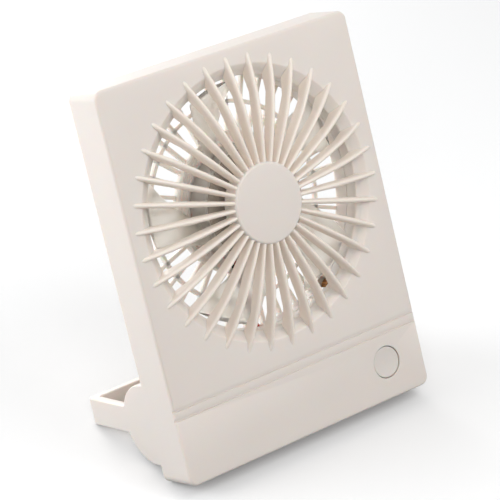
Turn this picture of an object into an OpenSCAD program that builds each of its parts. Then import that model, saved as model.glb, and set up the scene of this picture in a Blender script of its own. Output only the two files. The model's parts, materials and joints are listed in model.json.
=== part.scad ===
// Slim rechargeable desk fan: a flat square-edged case that leans back on a fold-out stand.
//
// Every piece is drawn in the case's own frame: x to the right, y back from the front face,
// z up the face, with the origin at the middle of the bottom front edge. in_use() then leans
// that frame back until the case and the stand both rest on the plane z = 0.

/* [Case] */
// Width of the case
body_w = 108; // [100:1:130]
// Height of the case, measured along its face
body_h = 138.6; // [137:0.2:170]
// Depth of the case, front face to back face
body_t = 16; // [15.6:0.1:20]
// Radius of the case's four upright corners
corner_r = 3.3; // [2.6:0.1:6]
// Radius of the soft edge round the front face
edge_r = 1.0; // [0.6:0.1:1.6]
// Thickness of the front wall
front_wall = 2.0; // [1.6:0.1:2.4]
// Thickness of the side walls
side_wall = 2.2; // [1.8:0.1:2.4]
// Thickness of the back plate
back_wall = 2.0; // [1.6:0.1:2.2]
// Gap between the back plate and the side walls
lid_gap = 0.1; // [0.05:0.05:0.3]
// Height of the lower groove across the face
groove_low_z = 24.0; // [22:0.5:26]
// Distance between the two grooves
groove_pitch = 3.3; // [2:0.1:6]
// Width of each groove
groove_w = 1.0; // [0.6:0.1:1.4]
// Depth of each groove
groove_d = 0.7; // [0.4:0.1:0.9]

/* [Air duct] */
// Height of the fan's axis up the face
fan_z = 84.5; // [84:0.1:100]
// Inner radius of the duct
duct_r = 44; // [43:0.5:45]
// Wall of the duct behind the blades
duct_wall = 1.4; // [1:0.1:1.8]
// Width of the sloped lip round the opening at the face
lip_w = 3.9; // [3:0.1:4.5]
// Depth of the sloped lip
lip_d = 1.9; // [1.2:0.1:1.9]
// Depth at which the front and back halves of the duct meet
seam_y = 7.8; // [7:0.1:9]
// Open seam between the two halves of the duct
seam_gap = 0.3; // [0.2:0.1:0.6]
// Angular width of the window in the duct wall, in degrees
window_deg = 6.5; // [4:0.5:9]
// Direction of that window round the fan's axis, in degrees
window_at = -56.8; // [-60:0.2:-54]

/* [Front guard] */
// Number of ribs
rib_count = 34; // [24:1:40]
// How far the rib tips reach past the lip, over the face
rib_over = 3.7; // [2.6:0.1:5.6]
// Rib width over its outer half
rib_w = 1.9; // [1.4:0.1:2.4]
// Rib width at the centre boss
rib_root_w = 1.3; // [1:0.1:1.6]
// Depth of a rib from its crest to its inner edge
rib_d = 3.4; // [2.5:0.1:4]
// Height of the rib crests above the face at the centre boss
rib_rise = 5.6; // [4:0.1:7]
// How strongly the crest curves down to the face: 1 is straight
rib_curve = 3.1; // [2:0.1:4]
// Radius of the centre boss
boss_r = 14.15; // [13:0.05:15]
// Height of the centre boss above the face
boss_h = 6.0; // [5.8:0.1:8]
// Wall of the centre boss
boss_wall = 1.4; // [1:0.1:2]
// How far the boss's skirt reaches behind the face
boss_skirt = 0.6; // [0:0.1:1]
// Radius of the soft edge round the boss
boss_edge = 0.5; // [0.3:0.1:0.8]
// Wall of the guard's seating ring
guard_wall = 1.2; // [1:0.1:1.4]
// Gap round the seating ring
guard_gap = 0.1; // [0.05:0.05:0.2]

/* [Impeller] */
// Number of blades
blade_count = 5; // [3:1:7]
// Gap between the blade tips and the duct
tip_gap = 2.0; // [1.5:0.1:4]
// Outer radius of the hub
hub_r = 20.5; // [20:0.1:21]
// Wall of the hub
hub_wall = 1.0; // [0.8:0.1:1.2]
// Depth behind the face at which the hub starts
hub_y = 2.9; // [2:0.1:3]
// Length of the hub along the axis
hub_len = 8.7; // [8.5:0.1:8.8]
// Half the angle that a blade covers at its root, in degrees
blade_root_half = 12; // [10:0.1:20]
// Half the angle that a blade covers at its tip, in degrees
blade_tip_half = 17.2; // [12:0.1:22]
// Angle by which a blade's tip is swept round from its root, in degrees
blade_sweep = 27; // [10:1:40]
// Direction of the first blade's root, in degrees
blade_at = 194; // [180:1:215]
// Depth that a blade takes up along the axis
blade_depth = 6.6; // [5:0.1:6.8]
// Thickness of a blade
blade_t = 1.1; // [0.8:0.1:1.4]

/* [Motor] */
// Radius of the steel rotor cup, less its gap in the hub
cup_gap = 0.04; // [0.02:0.01:0.08]
// Wall of the rotor cup
cup_wall = 1.0; // [0.8:0.1:1.2]
// How far the cup's face lies behind the hub's rim
cup_recess = 0.4; // [0.2:0.1:0.6]
// Radial thickness of the ring magnet
magnet_t = 1.4; // [1.2:0.1:1.6]
// Air gap between magnet and stator
air_gap = 0.5; // [0.4:0.1:0.7]
// Number of stator poles
pole_count = 9; // [6:1:12]
// Thickness of the stator core
stator_t = 2.6; // [2:0.1:3]
// Thickness of each winding over its pole
coil_t = 0.8; // [0.5:0.1:0.9]
// Radius of the motor shaft
shaft_r = 1.5; // [1:0.1:1.6]
// Running clearance of the shaft in its bushes
shaft_fit = 0.03; // [0.02:0.01:0.06]
// Wall of the bronze bushes
bush_wall = 1.05; // [0.8:0.05:1.2]
// Length of each bush
bush_len = 2.0; // [1.5:0.1:2.4]
// Wall of the bearing tube
tube_wall = 1.4; // [1.2:0.1:1.8]
// Thickness of the motor's ring-shaped circuit board
motor_board_t = 0.8; // [0.6:0.1:1]
// Outer radius of that board
motor_board_r = 16; // [14:0.5:17]

/* [Back grille] */
// Number of spokes
spoke_count = 36; // [24:1:40]
// Width of a spoke
spoke_w = 1.4; // [1:0.1:1.8]
// How far the grille's slots reach past the duct
slot_over = 1.0; // [0.5:0.1:1.4]
// Width of the grille's rim
grille_rim = 4.6; // [4.4:0.1:4.8]
// Radius of the plate that carries the motor
carrier_r = 25; // [24:0.5:27]
// Thickness of that plate
carrier_t = 2.6; // [2:0.1:2.6]
// Radius of the middle ring of the grille
mid_ring_r = 35; // [32:0.5:38]
// Width of the middle ring
mid_ring_w = 1.4; // [1:0.1:2]
// Gap between the grille and its recess
grille_gap = 0.2; // [0.1:0.05:0.3]
// Thickness of the recess floor that the grille sits on
floor_t = 1.4; // [1.2:0.1:1.6]

/* [Power button] */
// Distance of the button's middle from the case's right side
button_in = 16.6; // [16:0.1:20]
// Height of the button up the face
button_z = 13.5; // [12:0.1:14.5]
// Radius of the button
button_r = 5.55; // [4.5:0.05:6]
// Gap round the button
button_gap = 0.35; // [0.2:0.05:0.5]
// How far the button sits below the face
button_recess = 0.3; // [0.1:0.1:0.6]
// Depth of the hollow in the button's face
button_dish = 0.35; // [0.1:0.05:0.5]
// Travel of the button
button_travel = 0.5; // [0.3:0.1:0.6]
// Side of the tactile switch
switch_side = 6; // [5:0.5:6.5]

/* [Circuit board and battery] */
// Depth of the board's front side behind the face
board_y = 8.0; // [7.9:0.05:8.2]
// Thickness of the board
board_t = 1.2; // [0.8:0.1:1.2]
// Radius of the battery cell
cell_r = 9.1; // [8:0.1:9.2]
// Length of the battery cell
cell_len = 65; // [50:1:66]
// Room for the cell's lead, at the left end of the barrel
cell_room = 6.6; // [5:0.1:9]
// Radius of the insulated leads
lead_r = 0.6; // [0.4:0.1:0.7]

/* [Stand] */
// Depth of the stand's pivot behind the face
pivot_y = 21.6; // [21.5:0.1:23]
// Height of the stand's pivot up the case
pivot_z = 19.7; // [19:0.1:21]
// Radius of the stand's round cheeks
cheek_r = 14.7; // [13:0.1:15.2]
// Thickness of the cheeks and of the loop
loop_t = 3.35; // [2.8:0.05:3.6]
// How far the cheeks' outer faces lie inside the case's sides
cheek_inset = 2.5; // [2.4:0.05:2.8]
// Length of the loop from the pivot to its back face
loop_reach = 37.0; // [32:0.5:44]
// Height of the loop's edge above the pivot
loop_above = 5.3; // [4.5:0.1:5.3]
// Height of the loop's edge below the pivot
loop_below = 4.5; // [3.5:0.1:5.5]
// Radius of the loop's outer corners
loop_corner_r = 2.0; // [1.5:0.1:3]
// Angle by which the opened loop rises from square to the back, in degrees
loop_rise = 2.6; // [1:0.1:5]
// Angle through which the stand folds up, in degrees
fold_deg = 86; // [80:1:87]
// Outer radius of the barrel that holds the battery and the pivot pins
barrel_r = 11; // [10.7:0.1:11.5]
// Wall of the barrel
barrel_wall = 1.7; // [1.4:0.1:1.8]
// Thickness of the barrel's end walls
barrel_end = 3.0; // [2.5:0.1:3.5]
// Radius of the pivot pins
pin_r = 2.0; // [1.5:0.1:2.4]
// Clearance of the pivot pins
pin_fit = 0.05; // [0.02:0.01:0.08]
// Thickness of the friction washers
washer_t = 0.45; // [0.3:0.05:0.5]
// Outer radius of the friction washers
washer_r = 7.0; // [5:0.1:7.2]
// Clearance between a cheek and its washer
washer_gap = 0.1; // [0.05:0.05:0.2]

/* [Feet and screws] */
// Thickness of the rubber feet
foot_t = 1.2; // [0.8:0.1:1.4]
// How far the feet stand proud of the case's back edge
foot_proud = 0.2; // [0.1:0.05:0.4]
// Length of each foot under the case
foot_len = 30; // [15:1:32]
// Distance of the case's feet from its middle
foot_x = 31; // [28:1:32]
// Length of the foot under the stand
loop_foot_len = 80; // [40:2:90]
// Shank radius of the case screws
screw_r = 1.1; // [0.9:0.05:1.2]
// Head radius of the case screws
screw_head_r = 2.1; // [1.8:0.1:2.3]

/* [Hidden] */
$fn = 96;

shell_color = [0.93, 0.90, 0.86];
blade_color = [0.90, 0.88, 0.85];
steel_color = [0.45, 0.42, 0.39];
bronze_color = [0.70, 0.52, 0.28];
copper_color = [0.72, 0.42, 0.25];
board_color = [0.12, 0.32, 0.20];
black_color = [0.12, 0.12, 0.12];
red_color = [0.72, 0.12, 0.08];
cell_color = [0.22, 0.42, 0.62];
rubber_color = [0.86, 0.83, 0.79];

over = 1;

// --- where the stand and the case touch the ground ---------------------------------------
loop_corner_y = pivot_y + loop_reach * cos(loop_rise) + loop_below * sin(loop_rise);
loop_corner_z = pivot_z + loop_reach * sin(loop_rise) - loop_below * cos(loop_rise);
lean = atan2(loop_corner_z, loop_corner_y - body_t);
front_most = edge_r * (cos(lean) + sin(lean) - 1);
back_most = body_t * cos(lean) + body_h * sin(lean);
mid_y = (front_most + back_most) / 2;
case_corner_y = body_t * cos(lean) - mid_y;
loop_corner_out = loop_corner_y * cos(lean) + loop_corner_z * sin(lean) - mid_y;
lift = body_t * sin(lean) + foot_proud;

// --- radii about the fan's axis ----------------------------------------------------------
lip_r = duct_r + lip_w;
rib_tip_r = lip_r + rib_over;
blade_tip_r = duct_r - tip_gap;
slot_r = duct_r + slot_over;
grille_r = slot_r + grille_rim;

// --- depths inside the case --------------------------------------------------------------
back_in = body_t - back_wall;
carrier_dish = 0.6;
floor_y = back_in - floor_t;
duct_back_y = seam_y + seam_gap;
cup_y = hub_y + cup_recess;
cup_r = hub_r - hub_wall - cup_gap;
cup_end = hub_y + hub_len - 0.6;
cup_in_y = cup_y + cup_wall;
magnet_out = cup_r - cup_wall - 0.02;
magnet_in = magnet_out - magnet_t;
stator_r = magnet_in - air_gap;
bush_r = shaft_r + shaft_fit + bush_wall;
tube_r = bush_r + tube_wall;
tube_y = cup_in_y + 2.7;
carrier_y = body_t - carrier_dish - carrier_t;
motor_board_y = carrier_y - motor_board_t;
stator_y = tube_y + 0.4;
shaft_end = body_t - 1.7;

// --- fits ----------------------------------------------------------------------------------
guard_r = duct_r + guard_wall;
guard_hole_r = guard_r + guard_gap;
collar_r = guard_hole_r + duct_wall;
button_hole_r = button_r + button_gap;
cheek_out = body_w / 2 - cheek_inset;
cheek_in = cheek_out - loop_t;
washer_in = cheek_in - washer_gap - washer_t;
barrel_in = washer_in - barrel_end;
slot_gap = 0.3;
pocket_wall = 1.2;
pocket_r = cheek_r + slot_gap;
board_back = board_y + board_t;
recess_r = grille_r + grille_gap;
press_gap = 0.02;
button_x = body_w / 2 - button_in;
cell_x = cell_room + cell_len / 2 - barrel_in;

// --- places ----------------------------------------------------------------------------------
housing_points = [
  [-(body_w / 2 - 7), body_h - 6.1], [body_w / 2 - 7, body_h - 6.1], [-19, 5.2], [19, 5.2]
];
housing_post_r = 2.8;
grille_screw_r = (slot_r + grille_r) / 2;
grille_screw_at = [45, 135, 225, 315];
small_post_r = 2.3;
small_screw_r = 0.8;
small_head_r = 1.5;
head_t = 1.0;
head_y = body_t - head_t - 0.1;
board_right = washer_in - pocket_wall - 0.9;
board_left = board_right - 21.5;
board_low = 4;
board_high = 49;
board_clear_r = collar_r + 0.8;
board_points = [[board_left + 3, board_low + 4], [board_right - 3, board_high - 3.5]];
board_outline = [
  [board_left, board_low], [board_right, board_low], [board_right, board_high],
  [sqrt(pow(board_clear_r, 2) - pow(fan_z - board_high, 2)), board_high],
  [board_left, fan_z - sqrt(pow(board_clear_r, 2) - pow(board_left, 2))]
];
lead_pad_x = board_left + 3.5;
usb_at = [board_right - 8.5, 37.5];
usb_w = 8.94;
usb_h = 3.26;
usb_gap = 0.3;
led_at = [board_right - 3.5, 30];
led_r = 0.9;
choke_r = 3.2;
choke_deg = -54.3;
choke_reach = duct_r + duct_wall + choke_r + 1.05;
choke_at = [choke_reach * cos(choke_deg), fan_z + choke_reach * sin(choke_deg)];
chip_at = [board_right - 12.5, 20];
chip_side = 5;
saddle_x = [-25, 12];
saddle_w = 2;
stop_radius = 9;
stop_r = 1.0;
stop_at = 100;
stop_len = 1.6;
groove_from = [-8.0, 70.4];
groove_to = [-6.5, 58.4];
groove_half = 1.75;
notch_at = 263.7;
notch_deg = 5.4;

// --- helpers -----------------------------------------------------------------------------------

// Leans the case's frame back on its stand, with the middle of the footprint at the origin.
module in_use()
  translate([0, -mid_y, lift]) rotate([-lean, 0, 0]) children();

// Extrudes an outline drawn as seen from the front, from depth y0 back to depth y1.
module slab(y0, y1)
  translate([0, y1, 0]) rotate([90, 0, 0]) linear_extrude(y1 - y0) children();

// The same, with the outline centred on the fan's axis.
module fan_slab(y0, y1)
  translate([0, 0, fan_z]) slab(y0, y1) children();

// Turns a profile of [radius, depth behind the face] about the fan's axis.
module fan_turn()
  translate([0, 0, fan_z]) rotate([90, 0, 0]) rotate_extrude() mirror([0, 1]) children();

// A round bar along the depth, at a place on the face.
module post(at, y0, y1, r)
  translate([at[0], y1, at[1]]) rotate([90, 0, 0]) cylinder(h = y1 - y0, r = r);

// A round bar along the width, about the stand's pivot.
module pivot_bar(x0, x1, r)
  translate([x0, pivot_y, pivot_z]) rotate([0, 90, 0]) cylinder(h = x1 - x0, r = r);

// A ring about the fan's axis.
module fan_ring(y0, y1, r_in, r_out)
  fan_slab(y0, y1) difference() {
    circle(r = r_out);
    circle(r = r_in);
  }

// A rectangle with round corners, centred on x and standing on z = 0.
module rounded_rect(w, h, r) {
  translate([-w / 2 + r, 0]) square([w - 2 * r, h]);
  translate([-w / 2, r]) square([w, h - 2 * r]);
  for (x = [-w / 2 + r, w / 2 - r], z = [r, h - r])
    translate([x, z]) circle(r = r);
}

// A stadium outline, centred on its place.
module stadium(w, h) {
  square([w - h, h], center = true);
  for (s = [-1, 1]) translate([s * (w - h) / 2, 0]) circle(d = h);
}

// A flat sector with its point on the fan's axis, for windows and notches.
module sector(r, at, deg)
  polygon([
    [0, 0],
    for (i = [0:4]) let (a = at + deg * (i / 4 - 0.5)) [r * cos(a), r * sin(a)]
  ]);

// A sector cut out of the duct's wall.
module wall_cut(at, deg, y0, y1)
  fan_slab(y0, y1) difference() {
    sector(collar_r + 2, at, deg);
    circle(r = duct_r - 1);
  }

// The window low on the right of the duct.
module duct_window() wall_cut(window_at, window_deg, front_wall + 2.5, floor_y - 0.1);

// The section of a plate whose two front edges are round: x across, y back.
module soft_section(w, t, r) {
  translate([-w / 2 + r, 0]) square([w - 2 * r, t]);
  translate([-w / 2, r]) square([w, t - r]);
  for (x = [-w / 2 + r, w / 2 - r]) translate([x, r]) circle(r = r);
}

// The case's outer form: round upright corners and a soft edge round the face.
module soft_slab(w, h, t, rc, rf) {
  translate([0, 0, rc]) linear_extrude(h - 2 * rc) soft_section(w, t, rf);
  translate([-w / 2 + rc, 0, h / 2]) rotate([0, 90, 0])
    linear_extrude(w - 2 * rc) soft_section(h, t, rf);
  for (q = [[1, 1, 0], [-1, 1, 90], [-1, -1, 180], [1, -1, 270]])
    translate([q[0] * (w / 2 - rc), 0, h / 2 + q[1] * (h / 2 - rc)])
      rotate([90, 0, 0]) rotate([0, 0, q[2]]) rotate_extrude(angle = 90) {
        translate([0, -t]) square([rc, t - rf]);
        translate([0, -t]) square([rc - rf, t]);
        translate([rc - rf, -rf]) circle(r = rf);
      }
}

// A screw that is driven from the back, with a crossed recess in its head.
module screw(at, tip_y, under_y, shank_r, head_r, head_h) difference() {
  union() {
    post(at, tip_y, under_y + 0.1, shank_r);
    post(at, under_y, under_y + head_h, head_r);
  }
  for (a = [0, 90])
    translate([at[0], under_y + head_h, at[1]]) rotate([0, a, 0])
      cube([head_r * 1.2, 0.9, 0.45], center = true);
}

// --- swept and skinned forms ----------------------------------------------------------------
function unit(v) = v / norm(v);
function blend(a, b, c, d, t) =
  0.5 * (2 * b + (c - a) * t + (2 * a - 5 * b + 4 * c - d) * t * t
         + (3 * b - a - 3 * c + d) * t * t * t);
function smooth_path(p, n) = let (m = len(p) - 1) [
  for (i = [0:m - 1], k = [0:n - 1])
    blend(p[max(i - 1, 0)], p[i], p[i + 1], p[min(i + 2, m)], k / n),
  p[m]
];

// Closes a stack of rings, each of the same number of points, into one solid.
module skin(rings) {
  sides = len(rings[0]);
  last = len(rings) - 1;
  top = last * sides;
  polyhedron(
    points = [for (ring = rings) each ring],
    faces = [
      for (k = [1:sides - 2]) [0, k, k + 1],
      for (i = [0:last - 1], k = [0:sides - 1])
        let (a = i * sides + k, b = i * sides + (k + 1) % sides)
          each [[a, a + sides, b + sides], [a, b + sides, b]],
      for (k = [1:sides - 2]) [top, top + k + 1, top + k]
    ]);
}

// A round lead through the points; aside is any direction that the path never takes.
module lead(points, aside) {
  path = smooth_path(points, 3);
  last = len(path) - 1;
  skin([
    for (i = [0:last])
      let (along = unit(path[min(i + 1, last)] - path[max(i - 1, 0)]),
           u = unit(cross(along, aside)),
           v = cross(along, u))
        [for (k = [0:7]) path[i] + lead_r * (cos(45 * k) * u + sin(45 * k) * v)]
  ]);
}

// --- case ------------------------------------------------------------------------------------------

// Room for a rubber foot: everything lower than its top, near the edge it sits in.
module foot_room(x0, len, edge_y)
  translate([x0, edge_y - 8, -over]) cube([len, 12, foot_t + over]);

module front_shell() color(shell_color) difference() {
  in_use() difference() {
    union() {
      difference() {
        soft_slab(body_w, body_h, body_t, corner_r, edge_r);
        translate([0, 0, side_wall]) slab(front_wall, body_t + over)
          rounded_rect(body_w - 2 * side_wall, body_h - 2 * side_wall, corner_r - side_wall);
      }
      fan_slab(front_wall - 0.5, seam_y) circle(r = collar_r);
      for (p = housing_points) post(p, front_wall - 0.5, back_in, housing_post_r);
      for (p = board_points) post(p, front_wall - 0.5, board_y, small_post_r);
      for (x = saddle_x)
        translate([x - saddle_w / 2, front_wall - 0.5, pivot_z - 8])
          cube([saddle_w, back_in - front_wall + 0.3, 16]);
    }
    fan_turn() polygon([
      [0, -over], [lip_r, -over], [lip_r, 0], [guard_hole_r, lip_d],
      [guard_hole_r, seam_y + over], [0, seam_y + over]
    ]);
    for (i = [0, 1])
      translate([-body_w / 2 - over, -over, groove_low_z - groove_w / 2 + i * groove_pitch])
        cube([body_w + 2 * over, groove_d + over, groove_w]);
    post([button_x, button_z], -over, front_wall + over, button_hole_r);
    for (p = housing_points) post(p, 5, back_in + over, screw_r + 0.05);
    for (p = board_points) post(p, 4, board_y + over, small_screw_r + 0.05);
    pivot_bar(-barrel_in, barrel_in, cell_r + 0.2);
    duct_window();
  }
  for (s = [-1, 1]) foot_room(s * foot_x - foot_len / 2, foot_len, case_corner_y);
}

// Height of the rib crests in front of the face.
function crest(r) = rib_rise * (1 - pow(max(r - boss_r, 0) / (rib_tip_r - boss_r), rib_curve));

// A rib from the side, as [radius, height in front of the face].
module rib_side() {
  steps = 14;
  root = boss_r - boss_wall / 2;
  seat = duct_r - 6;
  polygon([
    for (i = [0:steps]) let (r = root + (rib_tip_r - root) * i / steps) [r, crest(r)],
    [lip_r - 0.05, 0],
    [guard_r + 0.04, 0.15 - lip_d],
    [guard_r - 0.05, -lip_d - 0.6],
    [duct_r, -lip_d - 0.6],
    [seat, crest(seat) - rib_d],
    [root, rib_rise - rib_d]
  ]);
}

// Half of a rib's outline from the front: narrow at the boss, pointed where it meets the face.
rib_edge = [
  [0, rib_root_w / 2], [boss_r + 1, rib_root_w / 2], [boss_r + 15, rib_w / 2],
  [rib_tip_r - 1.9, rib_w / 2], [rib_tip_r - 1, rib_w * 0.44], [rib_tip_r - 0.4, rib_w * 0.3],
  [rib_tip_r, rib_w * 0.08]
];

// A rib along +x, with its height towards the front.
module rib() intersection() {
  rotate([180, 0, 0]) linear_extrude(rib_w + 1, center = true) rib_side();
  rotate([90, 0, 0]) linear_extrude(30, center = true)
    polygon([
      for (p = rib_edge) p,
      for (i = [len(rib_edge) - 1:-1:0]) [rib_edge[i][0], -rib_edge[i][1]]
    ]);
}

module front_guard() color(shell_color) in_use() difference() {
  union() {
    fan_turn() polygon([
      [boss_r - boss_wall, boss_skirt], [boss_r, boss_skirt], [boss_r, boss_edge - boss_h],
      [boss_r - boss_edge * (1 - cos(30)), boss_edge * (1 - sin(30)) - boss_h],
      [boss_r - boss_edge * (1 - cos(60)), boss_edge * (1 - sin(60)) - boss_h],
      [boss_r - boss_edge, -boss_h], [0, -boss_h], [0, 1.8 - boss_h],
      [boss_r - boss_wall, 1.8 - boss_h]
    ]);
    fan_ring(lip_d, seam_y, duct_r, guard_r);
    for (i = [0:rib_count - 1])
      translate([0, 0, fan_z]) rotate([0, -90 - i * 360 / rib_count, 0]) rib();
  }
  duct_window();
}

// One cheek's pocket, on the side given by s: a wall round the cheek where it enters the case.
module cheek_pocket(s)
  intersection() {
    scale([s, 1, 1]) difference() {
      pivot_bar(washer_in - pocket_wall, body_w / 2 - side_wall - 0.2, pocket_r + pocket_wall);
      pivot_bar(washer_in, body_w, pocket_r);
    }
    translate([-body_w, 0, 0]) cube([2 * body_w, back_in + 0.1, body_h]);
  }

module rear_shell() color(shell_color) in_use() {
  difference() {
    union() {
      translate([0, 0, side_wall + lid_gap]) slab(back_in, body_t)
        rounded_rect(body_w - 2 * (side_wall + lid_gap), body_h - 2 * (side_wall + lid_gap),
                     corner_r - side_wall - lid_gap);
      fan_slab(floor_y, back_in + 0.1) circle(r = recess_r + floor_t);
      fan_slab(duct_back_y, floor_y + 0.1) circle(r = duct_r + duct_wall);
      intersection() {
        pivot_bar(-washer_in, washer_in, barrel_r);
        translate([-body_w, back_in + 0.1, 0]) cube([2 * body_w, body_h, body_h]);
      }
      for (s = [-1, 1]) cheek_pocket(s);
      for (a = grille_screw_at)
        post([grille_screw_r * cos(a), fan_z + grille_screw_r * sin(a)],
             floor_y - 3, floor_y + 0.1, small_post_r);
    }
    fan_slab(duct_back_y - over, body_t + over) circle(r = duct_r);
    fan_slab(back_in, body_t + over) circle(r = recess_r);
    pivot_bar(-barrel_in, barrel_in, barrel_r - barrel_wall);
    pivot_bar(-body_w, body_w, pin_r + press_gap);
    for (s = [-1, 1]) scale([s, 1, 1]) pivot_bar(washer_in, body_w, pocket_r);
    translate([usb_at[0], 0, usb_at[1]]) slab(back_in - over, body_t + over)
      stadium(usb_w + 2 * usb_gap, usb_h + 2 * usb_gap);
    post(led_at, back_in - over, body_t + over, led_r + 0.2);
    for (p = housing_points) {
      post(p, back_in - over, body_t + over, screw_r + 0.2);
      post(p, head_y, body_t + over, screw_head_r + 0.2);
    }
    for (a = grille_screw_at)
      post([grille_screw_r * cos(a), fan_z + grille_screw_r * sin(a)],
           floor_y - 2.6, body_t, small_screw_r + 0.05);
    duct_window();
    wall_cut(notch_at, notch_deg, floor_y - 2.4, back_in + over);
  }
  for (s = [-1, 1])
    translate([0, stop_radius * cos(stop_at), stop_radius * sin(stop_at)]) scale([s, 1, 1])
      pivot_bar(washer_in - 0.5, washer_in + 0.5 + stop_len, stop_r);
}

module rear_grille() color(shell_color) in_use() difference() {
  union() {
    fan_ring(back_in, body_t, slot_r, grille_r);
    fan_ring(back_in, body_t, mid_ring_r - mid_ring_w / 2, mid_ring_r + mid_ring_w / 2);
    fan_slab(back_in, body_t)
      for (i = [0:spoke_count - 1]) rotate(i * 360 / spoke_count)
        translate([carrier_r - 1, -spoke_w / 2]) square([slot_r - carrier_r + 1.5, spoke_w]);
    fan_turn() polygon([
      [0, tube_y], [tube_r, tube_y], [tube_r, carrier_y],
      for (i = [0:3]) let (r = carrier_r - 4.6 + i * 1.25)
        each [[r, carrier_y], [r, carrier_y - 0.35], [r + 0.6, carrier_y - 0.35],
              [r + 0.6, carrier_y]],
      [carrier_r, carrier_y], [carrier_r, body_t], [carrier_r - 2, body_t],
      [carrier_r - 2.6, body_t - carrier_dish], [0, body_t - carrier_dish]
    ]);
  }
  post([0, fan_z], tube_y - over, shaft_end + 0.2, bush_r + press_gap);
  slab(carrier_y - over, carrier_y + 2 * lead_r + 0.25) polygon([
    [groove_from[0] - groove_half, groove_from[1]], [groove_from[0] + groove_half, groove_from[1]],
    [groove_to[0] + groove_half, groove_to[1]], [groove_to[0] - groove_half, groove_to[1]]
  ]);
  for (a = grille_screw_at) {
    at = [grille_screw_r * cos(a), fan_z + grille_screw_r * sin(a)];
    post(at, back_in - over, body_t + over, small_screw_r + 0.2);
    post(at, head_y, body_t + over, small_head_r + 0.2);
  }
}

// --- impeller and motor --------------------------------------------------------------------------

// A blade's section at the part t of the way out: rings of points round its front and back sides.
function blade_ring(t, turn) =
  let (r = hub_r - hub_wall / 2 + (blade_tip_r - hub_r + hub_wall / 2) * t,
       half = blade_root_half + (blade_tip_half - blade_root_half) * t,
       mid = blade_at - blade_sweep * pow(t, 0.7) + turn,
       across = 2 * half * PI / 180 * r,
       len = norm([across, blade_depth]),
       y0 = hub_y + (hub_len - blade_depth) / 2)
    [for (k = [0:9])
      let (s = k < 5 ? k / 4 : (9 - k) / 4,
           side = (k < 5 ? -0.5 : 0.5) * blade_t * (0.35 + 0.65 * sin(180 * s)),
           a = mid + half * (1 - 2 * s))
        [r * cos(a) - side * blade_depth / len * sin(a),
         y0 + blade_depth * s + side * across / len,
         fan_z + r * sin(a) + side * blade_depth / len * cos(a)]];

module fan_impeller() color(blade_color) in_use() {
  fan_ring(hub_y, hub_y + hub_len, hub_r - hub_wall, hub_r);
  for (i = [0:blade_count - 1])
    skin([for (j = [0:6]) blade_ring(j / 6, i * 360 / blade_count)]);
}

module rotor_cup() color(steel_color) in_use() fan_turn() polygon([
  [shaft_r + 0.01, cup_y], [cup_r - 0.6, cup_y], [cup_r - 0.18, cup_y + 0.18],
  [cup_r, cup_y + 0.6], [cup_r, cup_end], [cup_r - cup_wall, cup_end],
  [cup_r - cup_wall, cup_in_y], [3, cup_in_y], [3, cup_in_y + 1.6], [shaft_r + 0.01, cup_in_y + 1.6]
]);

module rotor_magnet() color(black_color) in_use()
  fan_ring(cup_in_y + 0.2, cup_end - 0.4, magnet_in, magnet_out);

module motor_shaft() color(steel_color) in_use() post([0, fan_z], cup_y, shaft_end, shaft_r);

module shaft_bushes() color(bronze_color) in_use()
  for (y = [tube_y, shaft_end - bush_len])
    fan_ring(y, y + bush_len, shaft_r + shaft_fit, bush_r);

// One stator pole along +x, as seen from the front.
module pole_outline() translate([5, -1.2]) square([stator_r - 5.5, 2.4]);

module stator_core() color(steel_color) in_use()
  fan_slab(stator_y, stator_y + stator_t) difference() {
    intersection() {
      circle(r = stator_r);
      union() {
        circle(r = 7);
        for (i = [0:pole_count - 1]) rotate(i * 360 / pole_count) pole_outline();
        difference() {
          circle(r = stator_r);
          circle(r = stator_r - 1.4);
          for (i = [0:pole_count - 1]) rotate((i + 0.5) * 360 / pole_count)
            translate([stator_r - 3, -0.6]) square([4, 1.2]);
        }
      }
    }
    circle(r = tube_r + press_gap);
  }

module stator_coils() color(copper_color) in_use()
  for (i = [0:pole_count - 1]) translate([0, 0, fan_z]) rotate([0, i * 360 / pole_count, 0])
    difference() {
      translate([8.2, stator_y - coil_t, -2.1])
        cube([stator_r - 1.6 - 8.2, stator_t + 2 * coil_t, 4.2]);
      translate([7, stator_y - 0.02, -1.22]) cube([10, stator_t + 0.04, 2.44]);
    }

module motor_board() color(board_color) in_use()
  fan_ring(motor_board_y, carrier_y, tube_r + 0.2, motor_board_r);

// --- leads: their points are placed by hand, in the case's frame -------------------------------
module motor_lead(side) in_use() lead([
  [-7.9 + side, carrier_y + lead_r + 0.04, 70.0],
  [-7.3 + side, carrier_y + lead_r + 0.06, 65.0],
  [-6.7 + side, back_in - lead_r - 0.06, 60.0],
  [-5.9 + side, back_in - lead_r - 0.06, 52.0],
  [-5.3 + side, back_in - lead_r - 0.06, 45.5],
  [-4.95 + side, back_in - lead_r - 0.3, 42.0],
  [-4.7 + side, back_in - lead_r - 1.7, 38.8],
  [-2.6 + side, 10.9, 36.4 + side],
  [4, 10.4, 35.4 + side],
  [14, 10.1, 34.8 + side],
  [22, 10.0, 34.4 + side],
  [lead_pad_x, board_back + lead_r + 0.02, 34.2 + side]
], [0.35, 1, 0.2]);

module motor_lead_red() color(red_color) motor_lead(0.75);

module motor_lead_black() color(black_color) motor_lead(-0.75);

module battery_lead_red() color(red_color) in_use() lead([
  [cell_x + cell_len / 2 + 0.7, pivot_y, pivot_z],
  [cell_x + cell_len / 2 + 2.6, pivot_y - 0.8, pivot_z + 0.6],
  [cell_x + cell_len / 2 + 4.2, pivot_y - 5.6, pivot_z + 1.4],
  [cell_x + cell_len / 2 + 3.6, pivot_y - 9.6, pivot_z + 3.4],
  [lead_pad_x + 1, board_back + lead_r + 0.02, pivot_z + 8.6]
], [0.2, 0.3, 1]);

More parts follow.
